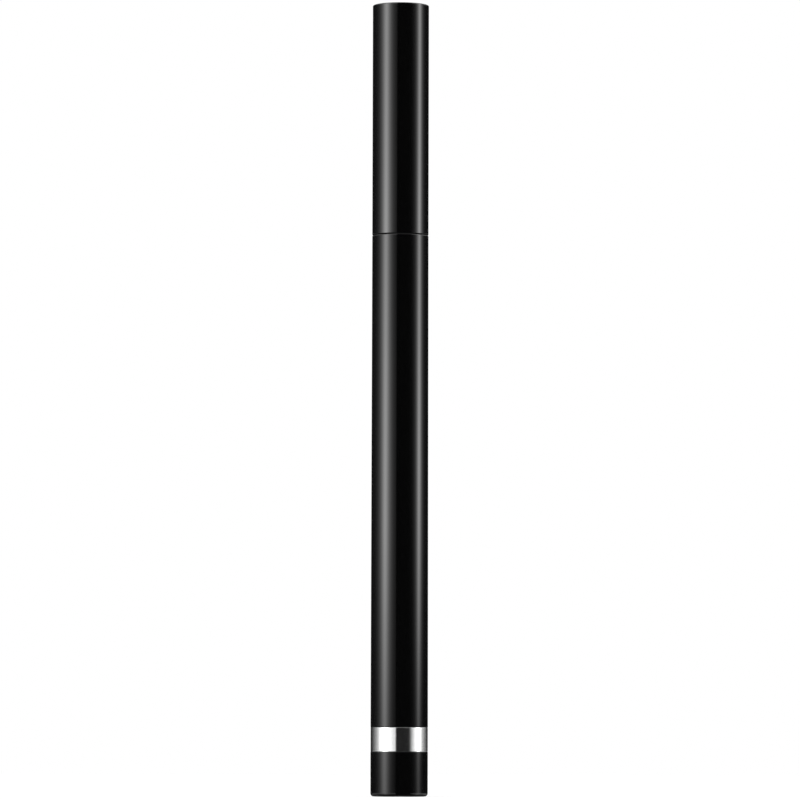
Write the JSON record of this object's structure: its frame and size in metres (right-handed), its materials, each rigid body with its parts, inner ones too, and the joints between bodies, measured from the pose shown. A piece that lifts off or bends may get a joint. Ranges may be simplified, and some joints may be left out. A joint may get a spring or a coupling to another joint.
{
  "type": "liquid eyeliner pen",
  "caption": "Slim free-ink eyeliner pen with a straight pull-off cap, bright trim band, finned ink collector, tapered fibre nib and a sprung inner cap that seals it.",
  "frame": {"origin": "middle of the foot, where the pen stands on its tail", "axes": "+Z along the pen from the tail to the closed end of the cap; the pen is round about Z"},
  "size_m": [0.01, 0.01, 0.14],
  "materials": {
    "barrel_plastic": "gloss black",
    "cap_plastic": "gloss black",
    "trim_metal": "bright anodised",
    "section_plastic": "semi-gloss black",
    "liner_plastic": "as moulded",
    "inner_cap_plastic": "natural, as moulded",
    "tank_plastic": "natural, translucent",
    "collector_plastic": "natural, as moulded",
    "pipe_plastic": "as moulded",
    "feed_fibre": "bonded polyester fibre",
    "nib_fibre": "bonded fibre, soaked black",
    "seal_rubber": "smooth",
    "stainless": "bright stainless"
  },
  "bodies": {
    "barrel": {"tail_plug": "barrel_plastic", "trim_band": "trim_metal", "barrel_sleeve": "barrel_plastic", "ink_tank": "tank_plastic", "seal_ring": "seal_rubber", "collector": "collector_plastic", "relay_core": "feed_fibre", "front_section": "section_plastic", "nib_pipe": "pipe_plastic", "nib": "nib_fibre"},
    "cap": {"cap_shell": "cap_plastic", "cap_liner": "liner_plastic", "inner_cap_spring": "stainless"},
    "inner_cap": {"inner_cap": "inner_cap_plastic"},
    "mixing_ball": {"mixing_ball": "stainless"}
  },
  "joints": [
    {"name": "cap_pull", "type": "slide", "parent": "barrel", "child": "cap", "axis": [0, 0, 1], "range_m": [0, 0.045]},
    {"name": "inner_cap_press", "type": "slide", "parent": "cap", "child": "inner_cap", "axis": [0, 0, 1], "range_m": [0, 0.0008], "stiffness_N_per_m": 250, "springref_m": -0.003, "deforming": ["inner_cap_spring"]},
    {"name": "ball_shake", "type": "slide", "parent": "barrel", "child": "mixing_ball", "axis": [0, 0, 1], "range_m": [0, 0.0402]}
  ]
}
